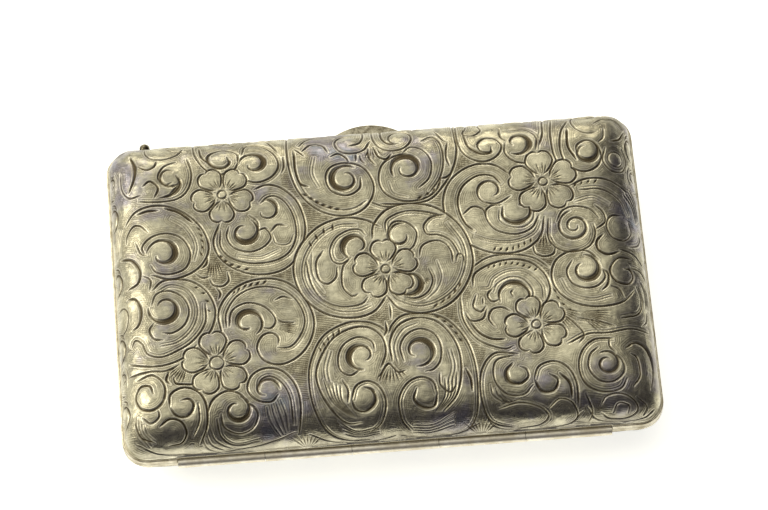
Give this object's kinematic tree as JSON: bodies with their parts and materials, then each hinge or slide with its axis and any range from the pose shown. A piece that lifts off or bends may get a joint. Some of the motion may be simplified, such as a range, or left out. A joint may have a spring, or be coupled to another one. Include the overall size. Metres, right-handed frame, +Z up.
{
  "type": "business card case",
  "caption": "Pillow-shaped chased silver card case with a tube hinge, push-piece catch, chain lug and sprung card retainer.",
  "frame": {"origin": "centre of the flat panel of the base that the closed case lies on", "axes": "+X along the hinge, +Y from the hinge to the push-piece, +Z up through the lid"},
  "size_m": [0.095, 0.0646, 0.016],
  "materials": {
    "silver_lid": "chased and tarnished silver",
    "silver_base": "chased and tarnished silver",
    "silver_wire": "worn plain silver wire",
    "silver_hinge": "worn drawn silver tube",
    "silver_push": "worn silver, dark in its edge",
    "silver_lug": "worn cast silver",
    "gilt_inside": "gilt silver, lightly polished",
    "gilt_retainer": "gilt silver sheet",
    "spring_steel": "blued spring steel",
    "pin_steel": "drawn steel wire"
  },
  "bodies": {
    "base": {"base_shell": "silver_base", "base_mouth_wire": "silver_wire", "inner_lip_left": "gilt_inside", "inner_lip_right": "gilt_inside", "base_hinge_bearer": "gilt_inside", "base_knuckle_2": "silver_hinge", "base_knuckle_4": "silver_hinge", "hinge_pin": "pin_steel", "catch_spring": "spring_steel", "catch_spring_posts": "gilt_inside", "catch_spring_rivets": "gilt_inside", "chain_lug": "silver_lug", "retainer_rod": "gilt_retainer", "retainer_eyes": "gilt_inside", "retainer_springs": "spring_steel"},
    "lid": {"lid_shell": "silver_lid", "lid_mouth_wire": "silver_wire", "lid_hinge_bearer": "gilt_inside", "lid_knuckle_1": "silver_hinge", "lid_knuckle_3": "silver_hinge", "lid_knuckle_5": "silver_hinge", "hinge_plug_left": "silver_hinge", "hinge_plug_right": "silver_hinge", "lid_catch_plate": "gilt_inside"},
    "push": {"push_piece": "silver_push", "catch_bar": "gilt_inside"},
    "retainer": {"card_retainer": "gilt_retainer"}
  },
  "joints": [
    {"name": "lid_hinge", "type": "hinge", "parent": "base", "child": "lid", "pos_m": [0, -0.03058, 0.008], "axis": [1, 0, 0], "range_deg": [0, 180]},
    {"name": "push_piece_travel", "type": "slide", "parent": "base", "child": "push", "axis": [0, -1, 0], "range_m": [0, 0.0009], "stiffness_N_per_m": 800, "springref_m": -0.0005, "deforming": ["catch_spring"]},
    {"name": "retainer_swing", "type": "hinge", "parent": "base", "child": "retainer", "pos_m": [0, -0.02655, 0.0071], "axis": [1, 0, 0], "range_deg": [0, 72], "deforming": ["retainer_springs"]}
  ],
  "couplings": [
    {"joint": "retainer_swing", "follows": "lid_hinge", "ratio": 0.4}
  ]
}
